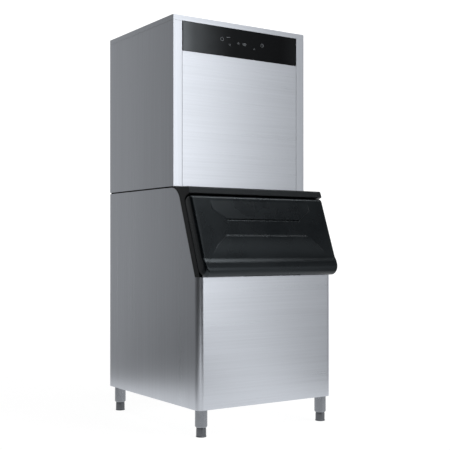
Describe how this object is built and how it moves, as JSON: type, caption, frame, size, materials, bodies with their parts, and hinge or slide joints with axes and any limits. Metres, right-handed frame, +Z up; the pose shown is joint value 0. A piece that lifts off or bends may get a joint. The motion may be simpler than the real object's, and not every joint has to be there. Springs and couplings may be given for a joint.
{
  "type": "flake ice maker",
  "caption": "Floor-standing flake ice maker: a steel ice-making head with a touch display, on an insulated storage bin with a sloping flip-up lid and screw feet.",
  "frame": {"origin": "on the floor under the middle of the machine's overall width and depth", "axes": "+X to the right for someone who faces the machine, -Y out of its front, +Z up"},
  "size_m": [0.56, 0.7006, 1.41],
  "materials": {
    "steel": "brushed stainless",
    "galvanised": "zinc coated sheet",
    "black_plastic": "fine texture",
    "charcoal_plastic": "fine texture",
    "display_black": "polished",
    "rubber": "matte",
    "foam": "cellular",
    "white_plastic": "satin",
    "compressor_black": "satin",
    "copper": "drawn copper tube",
    "aluminium": "mill finish",
    "cast_grey": "cast and painted",
    "brass": "machined",
    "board_green": "coated laminate",
    "blue_plastic": "moulded"
  },
  "bodies": {
    "machine": {"bin_shell": "steel", "bin_back_panel": "galvanised", "bin_base": "galvanised", "bin_foam": "foam", "bin_liner": "white_plastic", "bin_drain": "white_plastic", "level_sensor": "copper", "leg_front_left": "steel", "leg_front_right": "steel", "leg_rear_left": "steel", "leg_rear_right": "steel", "seam_gasket": "rubber", "door_frame": "black_plastic", "hinge_pin_left": "steel", "hinge_pin_right": "steel", "head_base_pan": "galvanised", "head_left_panel": "steel", "head_right_panel": "steel", "head_back_panel": "galvanised", "top_cover": "steel", "head_front_panel": "steel", "display_panel": "display_black", "control_board": "board_green", "head_cross_rail": "galvanised", "divider_panel": "galvanised", "electrical_box": "galvanised", "electrical_cover": "steel", "power_gland": "black_plastic", "water_inlet": "brass", "compressor": "compressor_black", "compressor_grommet_1": "rubber", "compressor_grommet_2": "rubber", "compressor_grommet_3": "rubber", "compressor_grommet_4": "rubber", "terminal_cover": "black_plastic", "condenser_coil": "aluminium", "fan_shroud": "galvanised", "fan_motor": "compressor_black", "filter_drier": "copper", "discharge_line": "copper", "liquid_line": "copper", "suction_line": "copper", "expansion_valve": "brass", "gearbox": "cast_grey", "gear_motor": "compressor_black", "evaporator_barrel": "steel", "breaker_head": "cast_grey", "ice_chute": "white_plastic", "water_reservoir": "blue_plastic", "feed_hose": "white_plastic"},
    "lid": {"bin_lid": "charcoal_plastic", "lid_inner_panel": "white_plastic", "lid_gasket": "rubber"},
    "front_left_foot": {"foot_front_left": "steel"},
    "front_right_foot": {"foot_front_right": "steel"},
    "rear_left_foot": {"foot_rear_left": "steel"},
    "rear_right_foot": {"foot_rear_right": "steel"},
    "auger_rotor": {"auger": "steel"},
    "fan_rotor": {"condenser_fan": "black_plastic"},
    "float": {"float_arm": "white_plastic"}
  },
  "joints": [
    {"name": "lid_hinge", "type": "hinge", "parent": "machine", "child": "lid", "pos_m": [0, -0.24348, 0.7733], "axis": [-1, 0, 0], "range_deg": [0, 95]},
    {"name": "front_left_screw", "type": "slide", "parent": "machine", "child": "front_left_foot", "axis": [0, 0, 1], "range_m": [-0.02, 0]},
    {"name": "front_right_screw", "type": "slide", "parent": "machine", "child": "front_right_foot", "axis": [0, 0, 1], "range_m": [-0.02, 0]},
    {"name": "rear_left_screw", "type": "slide", "parent": "machine", "child": "rear_left_foot", "axis": [0, 0, 1], "range_m": [-0.02, 0]},
    {"name": "rear_right_screw", "type": "slide", "parent": "machine", "child": "rear_right_foot", "axis": [0, 0, 1], "range_m": [-0.02, 0]},
    {"name": "auger_spin", "type": "hinge", "parent": "machine", "child": "auger_rotor", "pos_m": [-0.16, 0.1423, 0.8859], "axis": [0, 0, 1], "continuous": true},
    {"name": "fan_spin", "type": "hinge", "parent": "machine", "child": "fan_rotor", "pos_m": [0.2157, 0.0623, 1.009], "axis": [1, 0, 0], "continuous": true},
    {"name": "float_hinge", "type": "hinge", "parent": "machine", "child": "float", "pos_m": [-0.218, 0.2807, 1.168], "axis": [0, -1, 0], "range_deg": [0, 14]}
  ]
}
